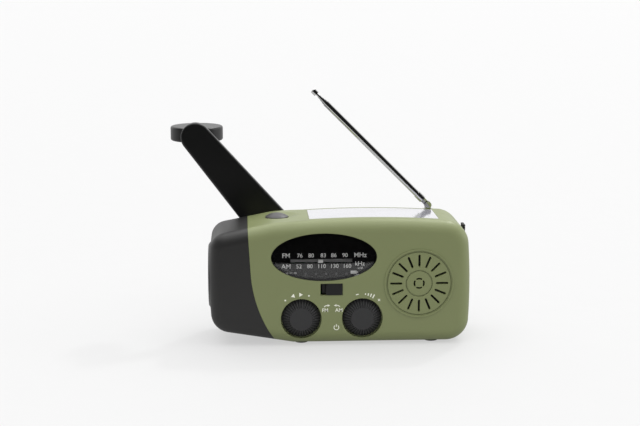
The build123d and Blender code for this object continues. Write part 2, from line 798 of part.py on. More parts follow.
board_x = (-44.0, 18.0)
board_z = (bottom + 6.4, top - 7.6)
board_back = board_y + board_thickness
with BuildPart() as main_board:
    block(board_x, (board_y, board_back), board_z)
    pin_y(screw_places[2], screw_boss + gap, (front, split_y), Mode.SUBTRACT)
main_board.part.label = "main_board"

chip_places = [(-30.0, 36.0, 9.0, 6.0), (4.0, 34.0, 7.0, 5.0), (12.0, 45.0, 5.0, 4.0)]
with BuildPart() as board_components:
    for chip_x, chip_z, chip_w, chip_h in chip_places:
        block(
            (chip_x - chip_w / 2, chip_x + chip_w / 2),
            (board_back, board_back + 1.6),
            (chip_z - chip_h / 2, chip_z + chip_h / 2),
        )
    for cap_x in (-12.0, -5.0, 10.0):
        pin_y((cap_x, 22.0), 2.5, (board_back, board_back + 7))
board_components.part.label = "board_components"

ferrite_y = -1.6
ferrite_z = top - 10.2
with BuildPart() as ferrite_rod:
    pin_x((ferrite_y, ferrite_z), 4.0, (-19.0, 41.0))
ferrite_rod.part.label = "ferrite_rod"

with BuildPart() as ferrite_coil:
    pin_x((ferrite_y, ferrite_z), 5.0, (6.0, 24.0))
    pin_x((ferrite_y, ferrite_z), 4.0, (5.0, 25.0), Mode.SUBTRACT)
    for clamp_x in (-12.0, 33.0):
        block((clamp_x - 2, clamp_x + 2), (board_back, ferrite_y), (ferrite_z - 5, ferrite_z + 5))
        pin_x((ferrite_y, ferrite_z), 4.0, (clamp_x - 3, clamp_x + 3), Mode.SUBTRACT)
ferrite_coil.part.label = "ferrite_coil"

# ---- speaker ------------------------------------------------------------------------

with BuildPart() as grille_screen:
    pin_y(grille_centre, 15.4, (inner_front + 0.1, inner_front + 0.4))
grille_screen.part.label = "grille_screen"

speaker_front = inner_front + 0.5
with BuildPart() as speaker_frame:
    turn_y(
        grille_centre,
        [
            (14.6, speaker_front),
            (16.8, speaker_front),
            (16.8, speaker_front + 1.0),
            (15.6, speaker_front + 1.0),
            (8.0, speaker_front + 7.4),
            (5.2, speaker_front + 7.4),
            (5.2, speaker_front + 6.6),
            (7.6, speaker_front + 6.6),
            (14.6, speaker_front + 0.8),
        ],
    )
    pin_y(grille_centre, 8.6, (speaker_front + 7.4, speaker_front + 12.4))
    pin_y(grille_centre, 3.2, (speaker_front + 6.6, speaker_front + 7.4))
speaker_frame.part.label = "speaker_frame"

with BuildPart() as speaker_cone:
    turn_y(
        grille_centre,
        [
            (0, speaker_front + 3.4),
            (3.6, speaker_front + 4.4),
            (4.2, speaker_front + 4.6),
            (14.2, speaker_front + 0.2),
            (14.4, speaker_front + 0.5),
            (4.2, speaker_front + 5.2),
            (3.6, speaker_front + 6.4),
            (0, speaker_front + 6.4),
        ],
    )
speaker_cone.part.label = "speaker_cone"

# ---- battery and ports --------------------------------------------------------------

with BuildPart() as battery_cell:
    pin_x((cell_y, cell_z), cell_radius, (cell_left_x, cell_left_x + cell_length - 1.0))
    pin_x((cell_y, cell_z), 2.8, (cell_left_x + cell_length - 1.0, cell_left_x + cell_length))
battery_cell.part.label = "battery_cell"

with BuildPart() as battery_holder:
    block((cell_left_x - 0.7, cell_left_x - 0.3), (cell_y - 4, cell_y + 4), (cell_z - 5, cell_z + 5))
    pin_x((cell_y, cell_z), 2.4, (cell_left_x - 0.3, cell_left_x))
    cell_right_x = cell_left_x + cell_length
    block((cell_right_x, cell_right_x + 0.4), (cell_y - 4, cell_y + 4), (cell_z - 5, cell_z + 5))
    for cradle_x in (cell_left_x + 8, cell_left_x + cell_length - 14):
        block((cradle_x, cradle_x + 6), (split_y + 0.3, cell_y), (bottom + wall, cell_z + 4))
    pin_x((cell_y, cell_z), cell_radius, (cell_left_x + 1, cell_left_x + cell_length - 1), Mode.SUBTRACT)
battery_holder.part.label = "battery_holder"

usb_y, usb_z = usb_centre
with BuildPart() as usb_socket:
    block((half - 14, half - 1.5), (usb_y - 3.2, usb_y + 3.2), (usb_z - 6.6, usb_z + 6.6))
    block((half - 12, half), (usb_y - 2.9, usb_y + 2.9), (usb_z - 6.3, usb_z + 6.3), Mode.SUBTRACT)
    block((half - 12, half - 3), (usb_y + 0.2, usb_y + 2.0), (usb_z - 5.5, usb_z + 5.5))
usb_socket.part.label = "usb_socket"

micro_y, micro_z = micro_centre
with BuildPart() as charge_socket:
    block((half - 7, half - 1.5), (micro_y - 1.3, micro_y + 1.3), (micro_z - 3.7, micro_z + 3.7))
    block((half - 6, half), (micro_y - 1.0, micro_y + 1.0), (micro_z - 3.4, micro_z + 3.4), Mode.SUBTRACT)
    block((half - 6, half - 2.2), (micro_y - 0.3, micro_y + 0.3), (micro_z - 2.2, micro_z + 2.2))
    block((half - 15.2, half - 14), (usb_y - 4, micro_y + 2), (usb_z - 9, usb_z + 5))
    block((half - 14, half - 7), (micro_y - 0.6, micro_y + 0.6), (micro_z - 3, micro_z + 3))
charge_socket.part.label = "charge_socket"

cover_outer = half + 0.7
with BuildPart() as port_cover:
    block((port_seat_x + 0.1, cover_outer), port_y, port_z)
    fillet(port_cover.edges().filter_by(Axis.X), 2.0)
    fillet(port_cover.faces().sort_by(Axis.X).last.edges(), 0.6)
    block(
        (cover_outer - 0.9, cover_outer + 0.3),
        (port_y[0] + 3.5, port_y[1] - 3.5),
        (port_z[1] - 2.5, port_z[1] + 2.0),
    )
    for ridge in range(3):
        ridge_z = port_z[1] - 0.4 + 0.9 * ridge
        block(
            (cover_outer, cover_outer + 0.55),
            (port_y[0] + 4.0, port_y[1] - 4.0),
            (ridge_z - 0.2, ridge_z + 0.2),
        )
    pin_y((cover_outer, port_z[0]), 0.6, (port_y[0] + 2.0, port_y[1] - 2.0))
port_cover.part.label = "port_cover"

# ---- crank and dynamo gearbox -------------------------------------------------------

with BuildPart() as crank_arm:
    with BuildSketch(Plane.XZ.offset(-arm_back)):
        with Locations(crank_centre):
            Circle(arm_hub_radius)
        with Locations(crank_tip):
            Circle(arm_tip_radius)
        make_hull()
    extrude(amount=arm_thickness)
    fillet(crank_arm.faces().sort_by(Axis.Y).first.edges(), 1.2)
    fillet(crank_arm.faces().sort_by(Axis.Y).last.edges(), 1.2)
    pin_y(crank_centre, shaft_radius, (arm_front - 1, arm_back - 1.2), Mode.SUBTRACT)
    pin_y(crank_centre, 1.3, (arm_front, arm_back + 1), Mode.SUBTRACT)
    pin_y(crank_tip, 2.2 + fit, (arm_front + 1.2, arm_back + 1), Mode.SUBTRACT)
    pin_y(crank_tip, 2.8, (arm_front + 1.2, arm_front + 2.4), Mode.SUBTRACT)
crank_arm.part.label = "crank_arm"

with BuildPart() as crank_gear:
    gear_y(crank_centre, crank_teeth, first_angle, (crank_layer - gear_thickness, crank_layer))
    pin_y(crank_centre, shaft_radius, (crank_layer - gear_thickness - 0.6, arm_back - 1.2))
    pin_y(crank_centre, 2.0, (gear_plate_y - gear_plate_thickness, crank_layer - gear_thickness - 0.6))
    pin_y(crank_centre, 1.3, (arm_back - 6, arm_back), Mode.SUBTRACT)
crank_gear.part.label = "crank_gear"

with BuildPart() as crank_screw:
    pin_y(crank_centre, 1.3, (arm_back - 6, arm_back))
    pin_y(crank_centre, 3.2, (arm_back, arm_back + 1.2))
    fillet(crank_screw.edges().group_by(Axis.Y)[-1], 0.5)
    cross_recess(crank_centre, 2.0, (arm_back + 0.5, arm_back + 2))
crank_screw.part.label = "crank_screw"

axle_radius = 1.0
pinion_turn = 180 + 180 / pinion_teeth
with BuildPart() as first_gear:
    gear_y(first_centre, pinion_teeth, first_angle + pinion_turn, (second_layer, crank_layer))
    gear_y(
        first_centre, second_teeth, second_angle, (second_layer - gear_thickness, second_layer)
    )
    pin_y(first_centre, axle_radius + fit, (front, rear), Mode.SUBTRACT)
first_gear.part.label = "first_gear"

with BuildPart() as second_gear:
    gear_y(second_centre, pinion_teeth, second_angle + pinion_turn, (third_layer, second_layer))
    gear_y(
        second_centre, third_teeth, third_angle, (third_layer - gear_thickness, third_layer)
    )
    pin_y(second_centre, axle_radius + fit, (front, rear), Mode.SUBTRACT)
second_gear.part.label = "second_gear"

with BuildPart() as gear_axles:
    pin_y(first_centre, axle_radius, (gear_plate_y - gear_plate_thickness, inner_rear))
    pin_y(second_centre, axle_radius, (gear_plate_y - gear_plate_thickness, inner_rear))
gear_axles.part.label = "gear_axles"

with BuildPart() as gear_plate:
    with BuildSketch(Plane.XZ.offset(-gear_plate_y)):
        for corner in (first_centre, second_centre, dynamo_centre):
            with Locations(corner):
                Circle(6.5)
        with Locations(crank_centre):
            Circle(4.0)
        make_hull()
    extrude(amount=gear_plate_thickness)
    pin_y(crank_centre, 2.0 + fit, (front, rear), Mode.SUBTRACT)
    for axle_centre in (first_centre, second_centre):
        pin_y(axle_centre, axle_radius, (front, rear), Mode.SUBTRACT)
    pin_y(dynamo_centre, 2.2, (front, rear), Mode.SUBTRACT)
gear_plate.part.label = "gear_plate"

dynamo_back = gear_plate_y - gear_plate_thickness
with BuildPart() as dynamo_can:
    pin_y(dynamo_centre, dynamo_radius, (dynamo_back - dynamo_length, dynamo_back))
    pin_y(
        dynamo_centre,
        dynamo_radius - 0.8,
        (dynamo_back - dynamo_length + 1, dynamo_back - 1),
        Mode.SUBTRACT,
    )
    pin_y(dynamo_centre, axle_radius + fit, (dynamo_back - 2, dynamo_back + 1), Mode.SUBTRACT)
dynamo_can.part.label = "dynamo_can"

with BuildPart() as dynamo_rotor:
    pin_y(dynamo_centre, dynamo_radius - 1.8, (dynamo_back - dynamo_length + 1.8, dynamo_back - 1.8))
    pin_y(dynamo_centre, axle_radius, (dynamo_back - 1.8, third_layer))
    gear_y(
        dynamo_centre,
        pinion_teeth,
        third_angle + pinion_turn,
        (third_layer - gear_thickness, third_layer),
    )
dynamo_rotor.part.label = "dynamo_rotor"

tip_x, tip_z = crank_tip
fork_base = arm_back + gap
with BuildPart() as knob_fork:
    pin_y(crank_tip, 2.6, (arm_front + 1.4, arm_front + 2.2))
    pin_y(crank_tip, 2.2, (arm_front + 2.2, fork_base))
    pin_y(crank_tip, 4.0, (fork_base, fork_base + 1.5))
    for side in (-1, 1):
        ear_x = sorted((tip_x + side * 2.2, tip_x + side * 3.8))
        block(ear_x, (fork_base + 1.5, hinge_y), (tip_z - 1.1, tip_z + 1.1))
        pin_x((hinge_y, tip_z), 2.0, ear_x)
    pin_x((hinge_y, tip_z), 1.0, (tip_x - 3.8, tip_x + 3.8))
knob_fork.part.label = "knob_fork"

disc_y = hinge_y + 11.0
knob_half = crank_knob_thickness / 2
knob_slot_y = hinge_y + 4.4
with BuildPart() as crank_knob:
    pin_z((tip_x, disc_y), crank_knob_radius, (tip_z - knob_half, tip_z + knob_half))
    fillet(crank_knob.edges(), 1.0)
    block((tip_x - 4.4, tip_x + 4.4), (fork_base - 2, knob_slot_y), (tip_z - 5, tip_z + 5), Mode.SUBTRACT)
    block((tip_x - 1.9, tip_x + 1.9), (hinge_y, knob_slot_y), (tip_z - 2.0, tip_z + 2.0))
    pin_x((hinge_y, tip_z), 2.0, (tip_x - 1.9, tip_x + 1.9))
    pin_x((hinge_y, tip_z), 1.0 + fit, (tip_x - 5, tip_x + 5), Mode.SUBTRACT)
crank_knob.part.label = "crank_knob"

# ---- aerial -------------------------------------------------------------------------

spigot_radius = 1.8
knuckle_half = 0.8
with BuildPart() as aerial_swivel:
    pin_z((aerial_x, aerial_y), spigot_radius, (trough_floor_z - 8.5, trough_floor_z))
    pin_z((aerial_x, aerial_y), 2.4, (trough_floor_z + 0.1, aerial_z - 1.75))
    pin_z((aerial_x, aerial_y), spigot_radius, (trough_floor_z, trough_floor_z + 0.1))
    for side in (-1, 1):
        ear_y = sorted((aerial_y + side * 1.0, aerial_y + side * 1.95))
        block((aerial_x - 1.35, aerial_x + 1.35), ear_y, (aerial_z - 1.75, aerial_z))
        pin_y((aerial_x, aerial_z), 1.7, ear_y)
    pin_y((aerial_x, aerial_z), 0.6, (aerial_y - 1.95, aerial_y + 1.95))
aerial_swivel.part.label = "aerial_swivel"

tube_names = ["aerial_tube_1", "aerial_tube_2", "aerial_tube_3", "aerial_tube_4", "aerial_tip"]
tubes = []
for index, tube_name in enumerate(tube_names):
    radius = tube_radii[index]
    start = tube_starts[index]
    end = tube_ends[index]
    with BuildPart() as tube:
        with BuildSketch(aerial_plane.offset(start)):
            Circle(radius)
        extrude(amount=end - start)
        if index == 0:
            with BuildSketch(aerial_plane.offset(start)):
                Circle(radius + 0.3)
            extrude(amount=4.0)
            with BuildSketch(aerial_plane):
                Rectangle(2 * knuckle_half, 2.6)
            extrude(amount=start)
            pin_y((aerial_x, aerial_z), 1.3, (aerial_y - knuckle_half, aerial_y + knuckle_half))
            pin_y((aerial_x, aerial_z), 0.6 + fit, (aerial_y - 3, aerial_y + 3), Mode.SUBTRACT)
        if index < 4:
            with BuildSketch(aerial_plane.offset(tube_starts[index + 1] - 2)):
                Circle(radius - tube_wall)
            extrude(amount=end, mode=Mode.SUBTRACT)
        else:
            with BuildSketch(aerial_plane.offset(end)):
                Circle(1.4)
            extrude(amount=2.8)
            fillet(tube.edges().group_by(Axis.Z)[-1], 0.5)
    tube.part.label = tube_name
    tubes.append(tube)

# ---- export -------------------------------------------------------------------------

pieces = [
    front_shell, rear_shell, lamp_head, battery_door, case_screws, feet, strap_lug,
    solar_cell, solar_cover, light_button, light_switch,
    lamp_bezel, lamp_lens, lamp_reflector, lamp_board, lamp_leds,
    dial_window, dial_plate, pointer_guide, dial_pointer, tuning_knob, volume_knob,
    tuning_shaft, volume_shaft, idler_lower, idler_upper, idler_bracket,
    tuning_capacitor, volume_control, band_slider, band_switch,
    main_board, board_components, ferrite_rod, ferrite_coil,
    grille_screen, speaker_frame, speaker_cone,
    battery_cell, battery_holder, usb_socket, charge_socket, port_cover,
    crank_arm, crank_gear, crank_screw, first_gear, second_gear, gear_axles, gear_plate,
    dynamo_can, dynamo_rotor, knob_fork, crank_knob, aerial_swivel,
] + tubes
os.makedirs("parts", exist_ok=True)
for piece in pieces:
    export_step(piece.part, "parts/" + piece.part.label + ".step")
print(len(pieces), "pieces")
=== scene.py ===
"""Looks of the hand-crank emergency radio: finishes, printed marks, small trim and the stage."""
import json
from math import cos, pi, radians, sin

import bpy
from bpy.props import FloatProperty, FloatVectorProperty, PointerProperty
from bpy.types import Operator, Panel, PropertyGroup
from mathutils import Euler, Matrix, Vector


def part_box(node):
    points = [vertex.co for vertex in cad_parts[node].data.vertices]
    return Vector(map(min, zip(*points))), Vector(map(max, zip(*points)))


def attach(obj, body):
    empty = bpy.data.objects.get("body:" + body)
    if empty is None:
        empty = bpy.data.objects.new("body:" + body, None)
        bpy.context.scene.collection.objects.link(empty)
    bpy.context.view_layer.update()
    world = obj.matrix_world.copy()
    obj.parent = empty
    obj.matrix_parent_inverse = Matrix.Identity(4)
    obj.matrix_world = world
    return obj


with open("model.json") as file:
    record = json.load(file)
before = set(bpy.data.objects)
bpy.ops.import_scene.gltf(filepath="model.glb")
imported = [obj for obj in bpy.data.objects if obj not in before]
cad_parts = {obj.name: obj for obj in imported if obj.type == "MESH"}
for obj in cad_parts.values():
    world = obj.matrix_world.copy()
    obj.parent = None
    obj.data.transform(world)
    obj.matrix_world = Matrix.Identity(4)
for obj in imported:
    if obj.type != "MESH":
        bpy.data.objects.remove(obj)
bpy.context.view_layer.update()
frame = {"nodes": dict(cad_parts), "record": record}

bl_info = {
    "name": "Emergency radio looks",
    "version": (1, 0, 0),
    "blender": (4, 5, 0),
    "location": "View3D > Sidebar > Radio",
    "description": "Finishes, printed marks, small trim and the stage of the emergency radio",
    "category": "Object",
}

MM = 0.001
PRINT_LIFT = 0.03 * MM      # how far paint stands off what it is printed on
PRINT_THICK = 0.04 * MM
CAPITAL_SHARE = 0.69        # a capital's height as a share of the font's size
BOLDER = 0.012              # how far a stroke's edge moves out, as a share of the font's size
FRONT_Y = -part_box("battery_door")[1].y              # the casing is as deep in front as behind
DIAL_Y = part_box("dial_plate")[0].y
SLOT_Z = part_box("dial_pointer")[1].z - 0.7 * MM     # middle of the dial's slot
AIM_HEIGHT = 0.030          # the camera keeps its distance from this height on the Z axis
AIM_RIGHT, AIM_DOWN = 0.0135, 0.0465                # where that point falls in view, as tangents


# ---- properties ---------------------------------------------------------------------

def colour_property(name, description, default):
    """A linear colour that a user would change."""
    return FloatVectorProperty(
        name=name, description=description, subtype="COLOR", size=3,
        min=0.0, max=1.0, default=default,
    )


def length_property(name, description, default):
    """A length in metres that a user would change."""
    return FloatProperty(
        name=name, description=description, default=default, unit="LENGTH", precision=5,
    )


class RadioColours(PropertyGroup):
    """Colours of the radio's finishes."""
    green: colour_property("Casing green", "Colour of both shells", (0.192, 0.218, 0.095))
    grey: colour_property("Lamp head grey", "Colour of the lamp head", (0.020, 0.0195, 0.019))
    black: colour_property("Satin black", "Colour of the crank and bezel", (0.005, 0.005, 0.005))
    knob: colour_property("Knob grey", "Colour of the control knobs", (0.030, 0.030, 0.031))
    button: colour_property("Button grey", "Colour of the light button", (0.060, 0.058, 0.060))
    print_white: colour_property("Print", "Colour of the casing's marks", (0.80, 0.81, 0.70))


class RadioSizes(PropertyGroup):
    """Sizes of the printed marks and small trim."""
    band_letters: length_property("Band letters", "Height of FM and AM on the dial", 2.2 * MM)
    numbers: length_property("Numbers", "Height of the dial's numbers", 1.9 * MM)
    switch_letters: length_property("Switch letters", "Height of the switch labels", 1.7 * MM)
    label_radius: length_property("Label radius", "Marks' radius about a knob", 11.9 * MM)
    line: length_property("Line", "Width of a printed line", 0.4 * MM)


class RadioStage(PropertyGroup):
    """Camera and studio."""
    yaw: FloatProperty(name="Yaw", description="Camera's turn to the right of +Y",
                       subtype="ANGLE", default=radians(3.2))
    pitch: FloatProperty(name="Pitch", description="Camera's tilt down",
                         subtype="ANGLE", default=radians(10.5))
    focal: FloatProperty(name="Focal length", description="Camera's focal length, in mm",
                         default=75.0)
    distance: length_property("Distance", "Camera's distance from the casing", 0.653)
    ambient: FloatProperty(name="Ambient", description="Strength of the room's light", default=1.0)
    key: FloatProperty(name="Key", description="Strength of the key light", default=0.6)
    side: FloatProperty(name="Side", description="Strength of the light at the right", default=0.6)
    soft: FloatProperty(name="Soft", description="Strength of the overhead light", default=1.9)


# ---- shared shader effects ----------------------------------------------------------

def new_group(name, inputs, outputs):
    """A shader node group with named float, colour and vector sockets."""
    group = bpy.data.node_groups.new(name, "ShaderNodeTree")
    kinds = {"f": "NodeSocketFloat", "c": "NodeSocketColor", "v": "NodeSocketVector"}
    for label, kind in inputs:
        group.interface.new_socket(label, in_out="INPUT", socket_type=kinds[kind])
    for label, kind in outputs:
        group.interface.new_socket(label, in_out="OUTPUT", socket_type=kinds[kind])
    return group, group.nodes.new("NodeGroupInput"), group.nodes.new("NodeGroupOutput")


def feed(group, socket, value):
    """Sets a socket to a number, or links it to another node's output."""
    if isinstance(value, (int, float)):
        socket.default_value = value
    else:
        group.links.new(value, socket)


def shade_between(group, source, low, high):
    """A Map Range node that turns a 0 to 1 value into low to high."""
    node = group.nodes.new("ShaderNodeMapRange")
    feed(group, node.inputs["Value"], source)
    feed(group, node.inputs["To Min"], low)
    feed(group, node.inputs["To Max"], high)
    return node.outputs["Result"]


def noise(group, vector, scale, detail):
    """A noise texture's value."""
    node = group.nodes.new("ShaderNodeTexNoise")
    feed(group, node.inputs["Vector"], vector)
    feed(group, node.inputs["Scale"], scale)
    feed(group, node.inputs["Detail"], detail)
    return node.outputs["Fac"]


def one_with(group, operation, value):
    """A Math node that adds a value to 1, or takes it away."""
    node = group.nodes.new("ShaderNodeMath")
    node.operation = operation
    feed(group, node.inputs[0], 1.0)
    feed(group, node.inputs[1], value)
    return node.outputs[0]


def vary(group, start, end, pattern, darkest, lightest, height):
    """Ends an effect: one pattern varies its colour and its roughness, and height is its relief."""
    tint = group.nodes.new("ShaderNodeVectorMath")
    tint.operation = "SCALE"
    feed(group, tint.inputs[0], start.outputs["Colour"])
    feed(group, tint.inputs["Scale"], shade_between(group, pattern, darkest, lightest))
    gloss = shade_between(group, pattern, start.outputs["Low Gloss"], start.outputs["High Gloss"])
    feed(group, end.inputs["Colour"], tint.outputs[0])
    feed(group, end.inputs["Roughness"], gloss)
    feed(group, end.inputs["Height"], height)


def plastic_grain():
    """Moulded plastic: fine spark-eroded grain, and soft blotches in colour and gloss."""
    inputs = [
        ("Colour", "c"), ("Grain", "f"), ("Blotch", "f"), ("Low Gloss", "f"), ("High Gloss", "f"),
    ]
    outputs = [("Colour", "c"), ("Roughness", "f"), ("Height", "f")]
    group, start, end = new_group("plastic_grain", inputs, outputs)
    place = group.nodes.new("ShaderNodeTexCoord").outputs["Object"]
    fine = noise(group, place, start.outputs["Grain"], 3.0)
    broad = noise(group, place, 60.0, 4.0)
    blotch = start.outputs["Blotch"]
    darkest, lightest = one_with(group, "SUBTRACT", blotch), one_with(group, "ADD", blotch)
    vary(group, start, end, broad, darkest, lightest, fine)


def drawn_metal():
    """Plated or drawn metal: long fine streaks along one direction, and a little haze."""
    inputs = [("Colour", "c"), ("Streaks", "v"), ("Low Gloss", "f"), ("High Gloss", "f")]
    outputs = [("Colour", "c"), ("Roughness", "f"), ("Height", "f")]
    group, start, end = new_group("drawn_metal", inputs, outputs)
    place = group.nodes.new("ShaderNodeTexCoord").outputs["Object"]
    stretch = group.nodes.new("ShaderNodeVectorMath")
    stretch.operation = "MULTIPLY"
    feed(group, stretch.inputs[0], place)
    feed(group, stretch.inputs[1], start.outputs["Streaks"])
    streak = noise(group, stretch.outputs[0], 1.0, 3.0)
    vary(group, start, end, streak, 0.93, 1.05, streak)


# ---- materials ----------------------------------------------------------------------

def finish(name, group, values, relief, **sockets):
    """A material whose colour, roughness and relief come from a shared effect."""
    material = bpy.data.materials.new(name)
    material.use_nodes = True
    nodes = material.node_tree.nodes
    links = material.node_tree.links
    shader = nodes["Principled BSDF"]
    effect = nodes.new("ShaderNodeGroup")
    effect.node_tree = group
    for label, value in values.items():
        effect.inputs[label].default_value = value
    links.new(effect.outputs["Colour"], shader.inputs["Base Color"])
    links.new(effect.outputs["Roughness"], shader.inputs["Roughness"])
    if relief:
        bump = nodes.new("ShaderNodeBump")
        bump.inputs["Strength"].default_value = 0.5
        bump.inputs["Distance"].default_value = relief
        links.new(effect.outputs["Height"], bump.inputs["Height"])
        links.new(bump.outputs["Normal"], shader.inputs["Normal"])
    for label, value in sockets.items():
        shader.inputs[label.replace("_", " ")].default_value = value
    return material


def rgba(colour):
    """A colour with full alpha."""
    return (colour[0], colour[1], colour[2], 1.0)


def moulded(
    name, colour, gloss=(0.42, 0.5), grain=2600.0, relief=0.02 * MM, blotch=0.03, **sockets
):
    """A moulded plastic or rubber finish."""
    values = {
        "Colour": rgba(colour), "Grain": grain, "Blotch": blotch,
        "Low Gloss": gloss[0], "High Gloss": gloss[1],
    }
    return finish(name, bpy.data.node_groups["plastic_grain"], values, relief, **sockets)


def ink(name, colour, blotch=0.05, gloss=(0.4, 0.5)):
    """A printed or painted finish, with no relief."""
    return moulded(name, colour, gloss, grain=3000.0, relief=0.0, blotch=blotch)


def metal(name, colour, gloss=(0.08, 0.16), streaks=(900.0, 900.0, 60.0), relief=0.0, **sockets):
    """A plated or brushed metal finish."""
    values = {
        "Colour": rgba(colour), "Streaks": streaks,
        "Low Gloss": gloss[0], "High Gloss": gloss[1],
    }
    group = bpy.data.node_groups["drawn_metal"]
    return finish(name, group, values, relief, Metallic=1.0, **sockets)


def clear_sheet(name, index):
    """A polished clear sheet that reflects as much as its angle asks and lets the rest through."""
    material = metal(name, (1.0, 1.0, 1.0), (0.015, 0.03), (300.0, 300.0, 300.0))
    nodes = material.node_tree.nodes
    edge = nodes.new("ShaderNodeFresnel")
    edge.inputs["IOR"].default_value = index
    shader = nodes["Principled BSDF"]
    material.node_tree.links.new(edge.outputs[0], shader.inputs["Alpha"])
    return material


def make_finishes(colours):
    """Every material, by name."""
    plastic_grain()
    drawn_metal()
    return {
        "casing_green": moulded("casing_green", colours.green, (0.38, 0.47), blotch=0.025),
        "head_grey": moulded("head_grey", colours.grey, (0.42, 0.5)),
        "satin_black": moulded(
            "satin_black", colours.black, (0.3, 0.4), grain=2000.0, relief=0.012 * MM
        ),
        "knob_black": moulded("knob_black", colours.knob, (0.45, 0.55), grain=3000.0),
        "rubber_black": moulded(
            "rubber_black", (0.012, 0.012, 0.012), (0.55, 0.7), grain=1500.0, relief=0.03 * MM
        ),
        "button_grey": moulded("button_grey", colours.button, (0.4, 0.52), grain=1800.0),
        "window_clear": clear_sheet("window_clear", 1.5),
        "solar_clear": moulded(
            "solar_clear", (0.42, 0.42, 0.46), (0.1, 0.16),
            grain=900.0, relief=0.01 * MM, blotch=0.01,
            Coat_Weight=1.0, Coat_Roughness=0.08,
        ),
        "solar_blue": moulded("solar_blue", (0.02, 0.02, 0.06), (0.2, 0.3), relief=0.0),
        "dial_black": moulded(
            "dial_black", (0.001, 0.001, 0.0012), (0.4, 0.5), Specular_IOR_Level=0.1,
        ),
        "pointer_white": moulded("pointer_white", (0.95, 0.95, 0.93), (0.4, 0.5)),
        "mirror": metal("mirror", (0.9, 0.9, 0.9), (0.03, 0.06)),
        "led_white": moulded("led_white", (0.9, 0.86, 0.6), (0.1, 0.2), relief=0.0),
        "chrome": metal("chrome", (0.72, 0.72, 0.71), (0.06, 0.13)),
        "steel": metal("steel", (0.5, 0.5, 0.5), (0.25, 0.35)),
        "gear_nylon": moulded("gear_nylon", (0.75, 0.75, 0.7), (0.4, 0.5)),
        "component_black": moulded("component_black", (0.02, 0.02, 0.02), (0.4, 0.5)),
        "board_green": moulded("board_green", (0.02, 0.12, 0.04), (0.2, 0.3)),
        "ferrite": moulded("ferrite", (0.02, 0.02, 0.02), (0.5, 0.6), grain=900.0),
        "copper": metal(
            "copper", (0.7, 0.3, 0.12), (0.25, 0.35), streaks=(3000.0, 30.0, 30.0), relief=0.05 * MM
        ),
        "screen_black": moulded(
            "screen_black", (0.01, 0.01, 0.01), (0.7, 0.9), grain=3500.0, relief=0.1 * MM
        ),
        "cell_blue": moulded("cell_blue", (0.01, 0.05, 0.3), (0.2, 0.3)),
        "print_white": ink("print_white", colours.print_white, 0.06),
        "dial_print": ink("dial_print", (0.95, 0.95, 0.93)),
        "dial_faint": ink("dial_faint", (0.05, 0.05, 0.052)),
        "dial_slot": ink("dial_slot", (0.2, 0.2, 0.2), gloss=(0.5, 0.6)),
    }


# ---- modelling helpers --------------------------------------------------------------

def clear_selection():
    """Leaves nothing selected."""
    bpy.ops.object.select_all(action="DESELECT")


def settle(piece):
    """Puts a piece's place in its mesh, with its object at the origin."""
    clear_selection()
    piece.select_set(True)
    bpy.context.view_layer.objects.active = piece
    bpy.ops.object.transform_apply(location=True, rotation=True, scale=True)
    return piece


def join_pieces(pieces, name):
    """One mesh object made of several."""
    clear_selection()
    for piece in pieces:
        piece.select_set(True)
    bpy.context.view_layer.objects.active = pieces[0]
    if len(pieces) > 1:
        bpy.ops.object.join()
    joined = bpy.context.view_layer.objects.active
    joined.name = name
    joined.data.name = name
    return settle(joined)


def add_block(size, centre):
    """A plain block to shape further, settled at its place."""
    clear_selection()
    bpy.ops.mesh.primitive_cube_add(size=1.0)
    block = bpy.context.object
    block.scale = size
    block.location = centre
    return settle(block)


def face_front(piece, x, z, y, lean):
    """Stands a flat piece up at its place to face the front, leaning clockwise."""
    piece.matrix_world = (
        Matrix.Translation((x, y, z))
        @ Matrix.Rotation(lean, 4, "Y")
        @ Matrix.Rotation(pi / 2, 4, "X")
    )
    return settle(piece)


def print_letters(words, x, z, y, height, lean=0.0):
    """Raised lettering that faces the front, centred on x and z."""
    clear_selection()
    bpy.ops.object.text_add(location=(0, 0, 0))
    text = bpy.context.object
    text.data.body = words
    text.data.size = height / CAPITAL_SHARE
    text.data.align_x = "CENTER"
    text.data.align_y = "CENTER"
    text.data.offset = BOLDER * text.data.size
    text.data.extrude = PRINT_THICK / 2
    text.data.resolution_u = 4
    bpy.ops.object.convert(target="MESH")
    return face_front(bpy.context.object, x, z, y, lean)


def print_shape(points, x, z, y, lean=0.0):
    """A flat printed shape that faces the front, from (right, up) points, made by extrusion."""
    clear_selection()
    bpy.ops.mesh.primitive_circle_add(vertices=len(points), fill_type="NGON")
    shape = bpy.context.object
    for vertex, point in zip(shape.data.vertices, points):
        vertex.co = (point[0], point[1], 0)
    bpy.ops.object.mode_set(mode="EDIT")
    bpy.ops.mesh.select_all(action="SELECT")
    bpy.ops.mesh.extrude_region_move(TRANSFORM_OT_translate={"value": (0, 0, PRINT_THICK)})
    bpy.ops.mesh.select_all(action="SELECT")
    bpy.ops.mesh.normals_make_consistent(inside=False)
    bpy.ops.object.mode_set(mode="OBJECT")
    return face_front(shape, x, z, y, lean)


def round_points(radius, count=16, start=0.0, sweep=2 * pi):
    """Points on a circle or an arc."""
    steps = count if sweep >= 2 * pi else count - 1
    return [
        (radius * cos(start + sweep * i / steps), radius * sin(start + sweep * i / steps))
        for i in range(count)
    ]


def bar_points(width, height):
    """The corners of an upright bar."""
    return [
        (-width / 2, -height / 2), (width / 2, -height / 2),
        (width / 2, height / 2), (-width / 2, height / 2),
    ]


def arc_points(radius, line, start, sweep, count=14):
    """The outline of a bent line."""
    outer = round_points(radius + line / 2, count, start, sweep)
    inner = round_points(radius - line / 2, count, start, sweep)
    return outer + inner[::-1]


def dress(piece, body, material):
    """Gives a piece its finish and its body."""
    piece.data.materials.clear()
    piece.data.materials.append(bpy.data.materials[material])
    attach(piece, body)


# ---- operators ----------------------------------------------------------------------

